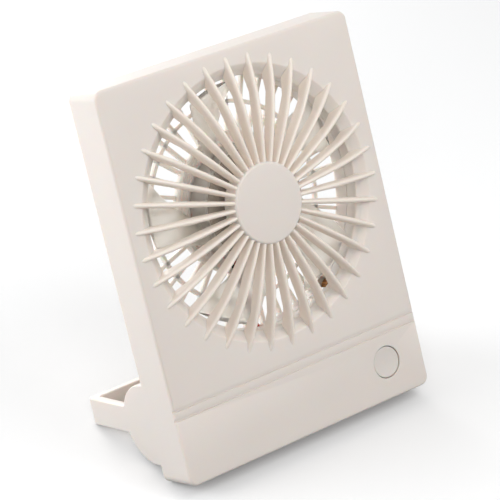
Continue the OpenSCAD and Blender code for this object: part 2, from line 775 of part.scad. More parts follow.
module battery_lead_black() color(black_color) in_use() lead([
  [cell_x - cell_len / 2 - 0.6, pivot_y, pivot_z],
  [cell_x - cell_len / 2 - 2.6, pivot_y - 1.2, pivot_z + 0.4],
  [cell_x - cell_len / 2 - 2.6, pivot_y - 6.4, pivot_z + 1.8],
  [cell_x - cell_len / 2 - 1.4, pivot_y - 9.8, pivot_z + 4.0],
  [cell_x - cell_len / 2 + 5.0, 11.0, pivot_z + 9.6],
  [-20, 10.9, pivot_z + 11.1],
  [0, 10.8, pivot_z + 11.2],
  [14, 10.5, pivot_z + 11.2],
  [21, 10.1, pivot_z + 11.1],
  [lead_pad_x, board_back + lead_r + 0.02, pivot_z + 11]
], [0.1, 0.3, 1]);

// --- switch, board and battery ------------------------------------------------------------------
module power_button() color(shell_color) in_use() difference() {
  union() {
    post([button_x, button_z], button_recess, front_wall + 0.5, button_r);
    post([button_x, button_z], front_wall + 0.3, front_wall + 1.3, button_r + 1.4);
    post([button_x, button_z], front_wall + 1.2, 3.75, 1.7);
  }
  translate([button_x, button_recess, button_z]) rotate([90, 0, 0]) rotate_extrude()
    polygon([
      [0, over], [button_r - 0.5, over],
      for (i = [0:6]) let (f = 1 - i / 6)
        [(button_r - 0.5) * f, -button_dish * (1 - f * f)]
    ]);
}

module switch_plunger() color(black_color) in_use()
  post([button_x, button_z], 3.8, 5.4, 1.6);

module tact_switch() color(steel_color) in_use() difference() {
  translate([button_x - switch_side / 2, 4.6, button_z - switch_side / 2])
    cube([switch_side, board_y - 4.6, switch_side]);
  post([button_x, button_z], 4, 5.4 + button_travel + 0.4, 1.65);
}

module circuit_board() color(board_color) in_use() difference() {
  slab(board_y, board_back) polygon(board_outline);
  for (p = board_points) post(p, board_y - over, board_back + over, small_screw_r + 0.2);
}

module control_chip() color(black_color) in_use()
  translate([chip_at[0] - chip_side / 2, board_back, chip_at[1] - chip_side / 2])
    cube([chip_side, 1, chip_side]);

module boost_choke() color(copper_color) in_use() difference() {
  post(choke_at, board_back, floor_y - 0.3, choke_r);
  post(choke_at, floor_y - 0.8, floor_y, choke_r - 1.4);
}

module usb_c_socket() color(steel_color) in_use() translate([usb_at[0], 0, usb_at[1]]) {
  difference() {
    slab(board_back, body_t - 0.1) stadium(usb_w, usb_h);
    slab(board_back + 0.8, body_t) stadium(usb_w - 0.6, usb_h - 0.6);
  }
  slab(board_back + 0.7, body_t - 0.8) square([6.7, 0.7], center = true);
}

module charge_led() color([0.9, 0.95, 0.9]) in_use()
  post(led_at, board_back, body_t - 0.1, led_r);

module battery_cell() color(cell_color) in_use() {
  pivot_bar(cell_x - cell_len / 2, cell_x + cell_len / 2, cell_r);
}

// --- stand -----------------------------------------------------------------------------------------

// Places a shape drawn with the pivot at the origin and the loop along +y.
module at_pivot()
  translate([0, pivot_y, pivot_z]) rotate([loop_rise, 0, 0]) children();

// The loop seen from above: two arms and a bar with round outer corners.
module loop_outline() difference() {
  union() {
    translate([-cheek_out, 0]) square([2 * cheek_out, loop_reach - loop_corner_r]);
    translate([-cheek_out + loop_corner_r, 0])
      square([2 * (cheek_out - loop_corner_r), loop_reach]);
    for (s = [-1, 1])
      translate([s * (cheek_out - loop_corner_r), loop_reach - loop_corner_r])
        circle(r = loop_corner_r);
  }
  translate([-cheek_in, -over]) square([2 * cheek_in, loop_reach - loop_t + over]);
}

module stand_loop() color(shell_color) difference() {
  in_use() at_pivot() difference() {
    union() {
      translate([0, 0, -loop_below]) linear_extrude(loop_above + loop_below) loop_outline();
      for (s = [-1, 1]) scale([s, 1, 1]) translate([cheek_in, 0, 0])
        rotate([0, 90, 0]) cylinder(h = loop_t, r = cheek_r);
    }
    for (s = [-1, 1]) scale([s, 1, 1]) {
      translate([cheek_in - over, 0, 0]) rotate([0, 90, 0])
        cylinder(h = loop_t - 0.6 + over, r = pin_r + pin_fit);
      stop_groove();
    }
  }
  foot_room(-loop_foot_len / 2, loop_foot_len, loop_corner_out);
}

// The arc in the cheek that the case's stop runs in while the stand folds.
module stop_groove() {
  half = stop_r + 0.3;
  spare = 8;
  translate([cheek_in - over, 0, 0]) rotate([0, 90, 0]) rotate([0, 0, 90])
    linear_extrude(stop_len + 0.4 + over) intersection() {
      difference() {
        circle(r = stop_radius + half);
        circle(r = stop_radius - half);
      }
      sector(2 * stop_radius, stop_at - loop_rise - fold_deg / 2, fold_deg + 2 * spare + 6);
    }
}

module hinge_pin(s) color(steel_color) in_use() scale([s, 1, 1])
  pivot_bar(barrel_in + 0.2, cheek_out - 0.9, pin_r);

module hinge_pin_left() hinge_pin(-1);

module hinge_pin_right() hinge_pin(1);

module friction_washer(s) color(steel_color) in_use() scale([s, 1, 1]) difference() {
  pivot_bar(washer_in, washer_in + washer_t, washer_r);
  pivot_bar(0, body_w, pin_r + 0.05);
}

module friction_washer_left() friction_washer(-1);

module friction_washer_right() friction_washer(1);

// --- feet and screws -------------------------------------------------------------------------------
module stand_foot() color(rubber_color)
  translate([-loop_foot_len / 2, loop_corner_out - 2.6, 0]) cube([loop_foot_len, 2.9, foot_t]);

module case_feet() color(rubber_color)
  for (s = [-1, 1])
    translate([s * foot_x - foot_len / 2, case_corner_y - 2.3, 0])
      cube([foot_len, 2.65, foot_t]);

module housing_screws() color(steel_color) in_use()
  for (p = housing_points) screw(p, 6, head_y, screw_r, screw_head_r, head_t);

module grille_screws() color(steel_color) in_use()
  for (a = grille_screw_at)
    screw([grille_screw_r * cos(a), fan_z + grille_screw_r * sin(a)],
          floor_y - 2.2, head_y, small_screw_r, small_head_r, head_t);

module board_screws() color(steel_color) in_use()
  for (p = board_points) screw(p, 4.4, board_back, small_screw_r, small_head_r, 1.1);

front_shell();
front_guard();
rear_shell();
rear_grille();
fan_impeller();
rotor_cup();
rotor_magnet();
motor_shaft();
shaft_bushes();
stator_core();
stator_coils();
motor_board();
motor_lead_red();
motor_lead_black();
power_button();
tact_switch();
switch_plunger();
circuit_board();
control_chip();
boost_choke();
usb_c_socket();
charge_led();
battery_cell();
battery_lead_red();
battery_lead_black();
stand_loop();
hinge_pin_left();
hinge_pin_right();
friction_washer_left();
friction_washer_right();
stand_foot();
case_feet();
housing_screws();
grille_screws();
board_screws();
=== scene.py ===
"""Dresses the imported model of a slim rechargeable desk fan, and sets its camera, light and floor.

Lengths are millimetres in the case's own frame: x to the right, y back from the front face and
z up the face, from the middle of the bottom front edge. CaseFrame turns them into the row's
metres. Angles round the fan are degrees from +x, counterclockwise as seen from the front.
"""
from __future__ import annotations

import json
import logging
import math
from dataclasses import dataclass
from enum import Enum

import bmesh
import bpy
import numpy as np
from mathutils import Matrix, Vector

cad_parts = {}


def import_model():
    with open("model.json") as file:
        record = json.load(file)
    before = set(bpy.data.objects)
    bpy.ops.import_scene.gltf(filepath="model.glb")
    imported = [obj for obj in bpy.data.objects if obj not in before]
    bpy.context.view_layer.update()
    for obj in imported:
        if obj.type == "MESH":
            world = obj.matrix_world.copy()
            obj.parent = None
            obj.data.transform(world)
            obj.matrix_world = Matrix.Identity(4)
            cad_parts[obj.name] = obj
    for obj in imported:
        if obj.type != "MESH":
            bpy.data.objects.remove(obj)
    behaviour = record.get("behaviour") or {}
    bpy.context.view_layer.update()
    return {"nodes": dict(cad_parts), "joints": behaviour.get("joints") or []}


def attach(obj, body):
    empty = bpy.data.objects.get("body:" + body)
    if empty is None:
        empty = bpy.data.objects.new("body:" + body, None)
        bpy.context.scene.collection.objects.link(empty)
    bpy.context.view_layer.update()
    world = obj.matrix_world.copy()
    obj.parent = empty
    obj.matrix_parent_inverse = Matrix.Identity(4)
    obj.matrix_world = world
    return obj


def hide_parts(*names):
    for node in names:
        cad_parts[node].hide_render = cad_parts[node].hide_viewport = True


LOG = logging.getLogger("desk_fan")
# One millimetre, in metres.
MM = 0.001
# Edges sharper than this stay crisp in the shading, in degrees.
SHARP_DEG = 32.0
# Height of the fan's axis up the face, in millimetres.
FAN_HEIGHT = 84.5


# --- the case's frame ----------------------------------------------------------------------


@dataclass(frozen=True)
class CaseFrame:
    """The case's own frame as it stands, leaning back on its stand."""

    back: np.ndarray
    up: np.ndarray
    origin: np.ndarray

    @classmethod
    def from_joints(cls, joints: list[dict], fan_height: float) -> CaseFrame:
        """Finds the frame from the fan's packed joint.

        Args:
            joints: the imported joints.
            fan_height: height of the fan's axis up the face, in millimetres.

        Returns:
            The frame. Its back direction is the fan's axis, and the joint's anchor lies on the
            face, fan_height above the origin.
        """
        spin = next(joint for joint in joints if joint["name"] == "fan_spin")
        back = np.array(spin["axis"], float)
        back /= np.linalg.norm(back)
        up = np.cross([1.0, 0.0, 0.0], back)
        return cls(back, up, np.array(spin["pos_m"], float) - up * fan_height * MM)

    @property
    def axes(self) -> np.ndarray:
        """The case's right, back and up directions, one row each."""
        return np.stack([np.array([1.0, 0.0, 0.0]), self.back, self.up])

    def to_row(self, points: np.ndarray) -> np.ndarray:
        """Turns millimetres in the case's frame into metres in the row's frame."""
        return self.origin + (np.asarray(points, float) * MM) @ self.axes

    def to_case(self, points: np.ndarray) -> np.ndarray:
        """Turns metres in the row's frame into millimetres in the case's frame."""
        return (np.asarray(points, float) - self.origin) @ self.axes.T / MM

    def spin_angle(self) -> float:
        """The turn about x that brings +z onto the fan's axis, in radians."""
        return math.atan2(-self.back[1], self.back[2])


# --- surfaces ---------------------------------------------------------------------------------


@dataclass
class Surface:
    """Points in millimetres and the faces between them."""

    points: np.ndarray
    faces: list[list[int]]

    @staticmethod
    def joined(parts: list[Surface]) -> Surface:
        """Puts several surfaces into one."""
        faces, start = [], 0
        for part in parts:
            faces += [[index + start for index in face] for face in part.faces]
            start += len(part.points)
        return Surface(np.concatenate([part.points for part in parts]), faces)


def lofted(rings: np.ndarray, closed: bool = False) -> Surface:
    """Skins closed rings of equal length.

    Point k of ring i is joined to point k + 1 of the same ring and to both of the next ring.

    Args:
        rings: array of rings, points and coordinates.
        closed: the last ring joins the first; otherwise both ends get a cap.

    Returns:
        The closed surface.
    """
    count, sides = rings.shape[:2]
    row = np.arange(count if closed else count - 1)[:, None]
    side = np.arange(sides)[None, :]
    after = (row + 1) % count
    turn = (side + 1) % sides
    quads = np.stack([
        row * sides + side, row * sides + turn, after * sides + turn, after * sides + side,
    ], axis=-1).reshape(-1, 4).tolist()
    caps = [] if closed else [
        list(range(sides))[::-1], list(range((count - 1) * sides, count * sides)),
    ]
    return Surface(rings.reshape(-1, 3), quads + caps)


def softened_outline(corners: np.ndarray, reach: float, steps: int = 4) -> np.ndarray:
    """Rounds every corner of a closed outline with a quadratic curve.

    Each curve starts and ends at the given reach from its corner, or at 0.45 of the shorter
    edge there, and has the corner as its middle control point.

    Args:
        corners: outline points, one row each.
        reach: distance from a corner at which its curve starts.
        steps: straight steps in each curve.

    Returns:
        The rounded outline.
    """
    before = np.roll(corners, 1, axis=0) - corners
    after = np.roll(corners, -1, axis=0) - corners
    len_before = np.linalg.norm(before, axis=1, keepdims=True)
    len_after = np.linalg.norm(after, axis=1, keepdims=True)
    cut = np.minimum(reach, 0.45 * np.minimum(len_before, len_after))
    start = corners + before / len_before * cut
    end = corners + after / len_after * cut
    t = np.linspace(0.0, 1.0, steps + 1)[None, :, None]
    curve = (1 - t) ** 2 * start[:, None] + 2 * t * (1 - t) * corners[:, None] + t**2 * end[:, None]
    return curve.reshape(-1, corners.shape[1])


@dataclass(frozen=True)
class FanAxis:
    """The fan's axis, about which rings, ribs and blades are set out."""

    height: float

    def place(self, radius: np.ndarray, aside: np.ndarray, depth: np.ndarray,
              degrees: np.ndarray | float) -> np.ndarray:
        """Puts points given about the axis into the case's frame.

        x is radius times the cosine of the angle less aside times its sine, and z is the axis
        height plus radius times the sine plus aside times the cosine.

        Args:
            radius: distance along the direction that the angle gives.
            aside: distance square to that direction, counterclockwise.
            depth: distance behind the face.
            degrees: the direction.

        Returns:
            Points with a last axis of x, y and z.
        """
        turn = np.radians(degrees)
        x = radius * np.cos(turn) - aside * np.sin(turn)
        z = self.height + radius * np.sin(turn) + aside * np.cos(turn)
        x, depth, z = np.broadcast_arrays(x, depth, z)
        return np.stack([x, depth, z], axis=-1)

    def turned(self, outline: np.ndarray, start: float = 0.0, sweep: float = 360.0,
               steps: int = 192) -> Surface:
        """Turns a closed outline of radius and depth about the axis.

        Args:
            outline: radius and depth of each point.
            start: direction at which the sweep starts.
            sweep: angle swept.
            steps: steps in the sweep.

        Returns:
            A closed surface, with flat ends where the sweep isn't a whole turn.
        """
        whole = sweep >= 360.0
        angles = start + sweep * np.arange(steps if whole else steps + 1) / steps
        rings = self.place(outline[None, :, 0], np.zeros((1, 1)), outline[None, :, 1],
                           angles[:, None])
        return lofted(rings, closed=whole)


def smooth_route(points: np.ndarray, steps: int) -> np.ndarray:
    """Runs a Catmull-Rom curve through the points, with a number of steps between each two.

    Between points b and c, with a before and d after, the curve is half of 2b + (c - a)t +
    (2a - 5b + 4c - d)t squared + (3b - a - 3c + d)t cubed.
    """
    padded = np.concatenate([points[:1], points, points[-1:]])
    a, b, c, d = (padded[k:len(padded) - 3 + k, None] for k in range(4))
    t = (np.arange(steps) / steps)[None, :, None]
    curve = 0.5 * (2 * b + (c - a) * t + (2 * a - 5 * b + 4 * c - d) * t**2
                   + (3 * b - a - 3 * c + d) * t**3)
    return np.concatenate([curve.reshape(-1, 3), points[-1:]])


def tube(route: np.ndarray, radius: float, aside: tuple[float, float, float],
         sides: int = 16) -> Surface:
    """Sweeps a circle along a route.

    Each circle lies square to the route, on two directions: the cross product of the route's
    direction with aside, and the cross product of those two.
    """
    along = np.gradient(route, axis=0)
    along /= np.linalg.norm(along, axis=1, keepdims=True)
    across = np.cross(along, np.array(aside))
    across /= np.linalg.norm(across, axis=1, keepdims=True)
    third = np.cross(along, across)
    angle = np.linspace(0.0, 2 * np.pi, sides, endpoint=False)[None, :, None]
    rings = route[:, None] + radius * (
        np.cos(angle) * across[:, None] + np.sin(angle) * third[:, None])
    return lofted(rings)


# --- materials ----------------------------------------------------------------------------------


class Finish(Enum):
    """The record's material slots."""

    SHELL = "shell_abs"
    GUARD = "guard_abs"
    GRILLE = "grille_abs"
    BLADE = "blade_pp"
    BUTTON = "button_abs"
    MOTOR_STEEL = "motor_steel"
    PLAIN_STEEL = "plain_steel"
    MAGNET = "magnet"
    BRONZE = "bronze"
    COPPER = "copper"
    BOARD = "board"
    BLACK_PLASTIC = "black_plastic"
    RED_LEAD = "red_insulation"
    BLACK_LEAD = "black_insulation"
    CELL_WRAP = "cell_can"
    LIGHT_PIPE = "light_pipe"
    SILICONE = "silicone"


def linear(hex_colour: str) -> tuple[float, float, float, float]:
    """Turns an sRGB hex colour into the linear one that a shader takes."""
    srgb = np.array([int(hex_colour[k:k + 2], 16) for k in (0, 2, 4)]) / 255.0
    values = np.where(srgb <= 0.04045, srgb / 12.92, ((srgb + 0.055) / 1.055) ** 2.4)
    return (*values.tolist(), 1.0)


def scale_for(size_mm: float) -> float:
    """The texture scale at which one cell of a pattern is that wide, in metres' coordinates."""
    return 1000.0 / size_mm


def add_node(tree: bpy.types.NodeTree, kind: str, inputs: dict | None = None,
             **settings: object) -> bpy.types.Node:
    """Adds a node with its settings and what feeds it.

    Args:
        tree: the material's or world's node tree.
        kind: the node's type.
        inputs: for each input's name or number, a value or the output that feeds it.
        settings: the node's own settings.

    Returns:
        The node.
    """
    node = tree.nodes.new(kind)
    for name, value in settings.items():
        setattr(node, name, value)
    for key, value in (inputs or {}).items():
        if isinstance(value, bpy.types.NodeSocket):
            tree.links.new(value, node.inputs[key])
        else:
            node.inputs[key].default_value = value
    return node


def start_material(name: str) -> tuple[bpy.types.Material, bpy.types.NodeTree]:
    """Makes an empty node material."""
    material = bpy.data.materials.new(name)
    material.use_nodes = True
    material.node_tree.nodes.clear()
    return material, material.node_tree


def place_on_object(tree: bpy.types.NodeTree) -> bpy.types.NodeSocket:
    """Object coordinates."""
    return add_node(tree, "ShaderNodeTexCoord").outputs["Object"]


def grain_of(tree: bpy.types.NodeTree, size_mm: float, detail: float,
             roughness: float = 0.5) -> bpy.types.NodeSocket:
    """Noise whose cells are that wide."""
    return add_node(tree, "ShaderNodeTexNoise", {
        "Vector": place_on_object(tree), "Scale": scale_for(size_mm), "Detail": detail,
        "Roughness": roughness,
    }).outputs["Fac"]


def blend(tree: bpy.types.NodeTree, share: bpy.types.NodeSocket, first: str,
          second: str) -> bpy.types.NodeSocket:
    """Blends two hex colours by a share from 0 to 1."""
    return add_node(tree, "ShaderNodeMix", {
        "Factor": share, "A": linear(first), "B": linear(second),
    }, data_type="RGBA").outputs["Result"]


def spread(tree: bpy.types.NodeTree, share: bpy.types.NodeSocket, middle: float,
           reach: float) -> bpy.types.NodeSocket:
    """Maps a share from 0 to 1 to values up to reach on either side of the middle."""
    return add_node(tree, "ShaderNodeMapRange", {
        "Value": share, "To Min": middle - reach, "To Max": middle + reach,
    }).outputs["Result"]


def ridges(tree: bpy.types.NodeTree, height: bpy.types.NodeSocket, strength: float,
           depth_mm: float) -> bpy.types.NodeSocket:
    """Turns a pattern's height into a bumpy surface."""
    return add_node(tree, "ShaderNodeBump", {
        "Height": height, "Strength": strength, "Distance": depth_mm * MM,
    }).outputs["Normal"]


def place_about_axis(tree: bpy.types.NodeTree, case: CaseFrame) -> bpy.types.NodeSocket:
    """Object coordinates from a point on the fan's axis, with z along the axis."""
    spun = add_node(tree, "ShaderNodeMapping", {
        "Vector": place_on_object(tree), "Location": case.to_row(np.array([0.0, 0.0, FAN_HEIGHT])),
        "Rotation": (case.spin_angle(), 0.0, 0.0),
    }, vector_type="TEXTURE")
    return spun.outputs["Vector"]


def close_material(tree: bpy.types.NodeTree, shader: bpy.types.NodeSocket) -> None:
    """Feeds the shader to the material's output."""
    add_node(tree, "ShaderNodeOutputMaterial", {"Surface": shader})


@dataclass(frozen=True)
class MouldedPlastic:
    """An injection-moulded plastic with a spark-eroded grain.

    The grain breaks up the gloss, and a slow drift in shade and gloss keeps large faces alive.
    """

    name: str
    colour: str
    shade: str
    roughness: float
    ior: float
    grain_mm: float
    grain_depth: float
    glow: float = 0.0
    glow_mm: tuple[float, float, float] = (2.2, 1.2, 0.7)
    clear: float = 0.0
    drift_mm: float = 38.0

    def build(self, case: CaseFrame) -> bpy.types.Material:
        """Builds the material."""
        material, tree = start_material(self.name)
        drift = grain_of(tree, self.drift_mm, 2.0)
        grain = grain_of(tree, self.grain_mm, 3.0, 0.6)
        shader = add_node(tree, "ShaderNodeBsdfPrincipled", {
            "Base Color": blend(tree, drift, self.colour, self.shade),
            "Roughness": spread(tree, drift, self.roughness, 0.04), "IOR": self.ior,
            "Normal": ridges(tree, grain, 0.5, self.grain_depth),
            "Subsurface Weight": self.glow, "Subsurface Radius": self.glow_mm,
            "Subsurface Scale": MM, "Transmission Weight": self.clear,
        })
        close_material(tree, shader.outputs["BSDF"])
        return material


@dataclass(frozen=True)
class TurnedSteel:
    """Zinc-plated sheet steel, pressed and then faced on a lathe.

    Fine rings about the fan's axis are bumps left by the tool, and their paler and darker colour is
    painted reflection, over a dull grey plating whose white haze makes it half metal and half matt.
    """

    name: str
    colour: str
    shade: str
    roughness: float
    ring_mm: float
    ring_depth: float

    def build(self, case: CaseFrame) -> bpy.types.Material:
        """Builds the material."""
        material, tree = start_material(self.name)
        rings = add_node(tree, "ShaderNodeTexWave", {
            "Vector": place_about_axis(tree, case),
            "Scale": math.pi / (10.0 * self.ring_mm * MM),
            "Distortion": 1.2, "Detail": 2.0, "Detail Scale": 1.5,
        }, wave_type="RINGS", rings_direction="Z").outputs["Fac"]
        shader = add_node(tree, "ShaderNodeBsdfPrincipled", {
            # Paler and darker rings: painted reflection of the turned rings.
            "Base Color": blend(tree, rings, self.shade, self.colour), "Metallic": 0.5,
            "Roughness": self.roughness, "Normal": ridges(tree, rings, 0.4, self.ring_depth),
        })
        close_material(tree, shader.outputs["BSDF"])
        return material


@dataclass(frozen=True)
class FineMetal:
    """A small metal part, drawn, pressed or sintered: a fine grain in its shade and gloss."""

    name: str
    colour: str
    shade: str
    roughness: float
    grain_mm: float

    def build(self, case: CaseFrame) -> bpy.types.Material:
        """Builds the material."""
        material, tree = start_material(self.name)
        grain = grain_of(tree, self.grain_mm, 4.0)
        shader = add_node(tree, "ShaderNodeBsdfPrincipled", {
            "Base Color": blend(tree, grain, self.colour, self.shade), "Metallic": 1.0,
            "Roughness": spread(tree, grain, self.roughness, 0.08),
        })
        close_material(tree, shader.outputs["BSDF"])
        return material


@dataclass(frozen=True)
class WoundCopper:
    """Enamelled copper wire, laid turn by turn: round ridges a wire apart.

    The amber enamel hides much of the metal, so it is a coat over a base that is partly metal.
    """

    name: str
    colour: str
    gap: str
    wire_mm: float

    def build(self, case: CaseFrame) -> bpy.types.Material:
        """Builds the material."""
        material, tree = start_material(self.name)
        turns = add_node(tree, "ShaderNodeTexWave", {
            "Vector": place_about_axis(tree, case),
            "Scale": math.pi / (10.0 * self.wire_mm * MM),
        }, wave_type="RINGS", rings_direction="Z").outputs["Fac"]
        shader = add_node(tree, "ShaderNodeBsdfPrincipled", {
            "Base Color": blend(tree, turns, self.gap, self.colour), "Metallic": 0.35,
            "Roughness": 0.38, "Coat Weight": 0.5, "Coat Roughness": 0.15,
            "Normal": ridges(tree, turns, 0.8, 0.3 * self.wire_mm),
        })
        close_material(tree, shader.outputs["BSDF"])
        return material


@dataclass(frozen=True)
class SolderMask:
    """Green lacquer on glass-filled board: glossy, with the tracks showing as paler lines."""

    name: str
    colour: str
    track: str
    track_mm: float

    def build(self, case: CaseFrame) -> bpy.types.Material:
        """Builds the material."""
        material, tree = start_material(self.name)
        tracks = add_node(tree, "ShaderNodeTexBrick", {
            "Vector": place_on_object(tree), "Scale": scale_for(1.0), "Mortar Size": 0.18 * self.track_mm,
            "Brick Width": 6.0 * self.track_mm, "Row Height": 2.0 * self.track_mm,
            "Color1": linear(self.colour), "Color2": linear(self.colour),
            "Mortar": linear(self.track),
        })
        shader = add_node(tree, "ShaderNodeBsdfPrincipled", {
            "Base Color": tracks.outputs["Color"], "Roughness": 0.28, "IOR": 1.5,
            "Coat Weight": 0.6, "Coat Roughness": 0.1,
        })
        close_material(tree, shader.outputs["BSDF"])
        return material


FINISHES = {
    # Moulded ABS: an opaque warm white with a soft sheen. The 0.3 mm grain of the tool is drawn
    # at 0.5 mm so that it shows.
    # The shells are greyer. The boss and ring, one moulding with the ribs, share the shells' colour as
    # painted shade;
    # the ribs' creamier, paler colour is painted warm bounce light on their flanks; and the grille's
    # paler colour is painted light inside the fan.
    Finish.SHELL: MouldedPlastic("moulded_abs_shell", "e8dfd8", "e4dbd3", 0.42, 1.53, 0.5, 0.012,
                                 glow=0.35),
    # The ribs' paler, creamier colour is painted warm bounce light on their flanks.
    Finish.GUARD: MouldedPlastic("moulded_abs_guard", "f8ede2", "f4e9de", 0.4, 1.53, 0.5, 0.01,
                                 glow=0.12, glow_mm=(1.1, 0.5, 0.25)),
    # The grille's paler colour, also used on the motor plate, is painted light inside the fan.
    Finish.GRILLE: MouldedPlastic("moulded_abs_grille", "f2ebe4", "eee7df", 0.42, 1.53, 0.5, 0.01,
                                  glow=0.6, glow_mm=(1.8, 1.2, 0.9)),
    Finish.BUTTON: MouldedPlastic("moulded_abs_button", "e2dad4", "dfd7d0", 0.38, 1.53, 0.4, 0.008,
                                  glow=0.35),
    # Natural polypropylene: milky, so that light passes through the thin blades.
    Finish.BLADE: MouldedPlastic("moulded_polypropylene", "fbf8f2", "f8f4ec", 0.4, 1.49, 0.8,
                                 0.006, clear=0.75),
    # Moulded liquid-crystal polymer and nylon of the small electrical parts.
    Finish.BLACK_PLASTIC: MouldedPlastic("black_nylon", "1e1e1f", "161617", 0.45, 1.53, 0.3, 0.01),
    # Silicone insulation: matt and slightly soft at the edges.
    Finish.RED_LEAD: MouldedPlastic("red_silicone_lead", "c4544a", "b04339", 0.5, 1.41, 0.6, 0.01),
    Finish.BLACK_LEAD: MouldedPlastic("black_silicone_lead", "191615", "120f0e", 0.5, 1.41, 0.6,
                                      0.01),
    # Heat-shrunk vinyl sleeve of the cell: glossy and thinly wrinkled.
    Finish.CELL_WRAP: MouldedPlastic("shrunk_vinyl_wrap", "3f6f9e", "38658f", 0.25, 1.54, 2.5,
                                     0.05),
    # Frosted acrylic of the charge light.
    Finish.LIGHT_PIPE: MouldedPlastic("frosted_acrylic", "eef1ee", "e6eae6", 0.35, 1.49, 0.4, 0.01,
                                      glow=0.8, glow_mm=(1.5, 1.5, 1.5)),
    # Silicone rubber of the feet: matt, with a fine pull in its skin.
    Finish.SILICONE: MouldedPlastic("silicone_rubber", "d9d2c9", "d2cbc1", 0.62, 1.41, 0.5, 0.02),
    # Zinc-plated sheet: a dull sheen broken into rings, whose paler and darker colour is painted
    # reflection over the real ring bumps. The rings of the tool, 0.18 mm apart, are drawn 0.5 mm
    # apart so that they show.
    Finish.MOTOR_STEEL: TurnedSteel("faced_zinc_plate", "cfc9c0", "8b837a", 0.6, 0.5, 0.02),
    # Nickel-plated steel of the small parts: bright and slightly warm.
    Finish.PLAIN_STEEL: FineMetal("nickel_plated_steel", "b9b6b1", "a7a39d", 0.3, 0.4),
    # Sintered ferrite: nearly black, with a dull grain.
    Finish.MAGNET: FineMetal("sintered_ferrite", "3a3836", "2c2a29", 0.55, 0.3),
    # Sintered bronze: warm brown, its gloss broken by fine pores.
    Finish.BRONZE: FineMetal("sintered_bronze", "b08a55", "957246", 0.45, 0.25),
    # Enamelled wire 0.32 mm thick: amber ridges with brown gaps.
    Finish.COPPER: WoundCopper("enamelled_copper_wire", "d99a58", "8a5226", 0.32),
    # Solder mask: deep green gloss over paler tracks 0.6 mm wide.
    Finish.BOARD: SolderMask("green_solder_mask", "1d5336", "2f7350", 0.6),
}


# --- pieces -------------------------------------------------------------------------------------


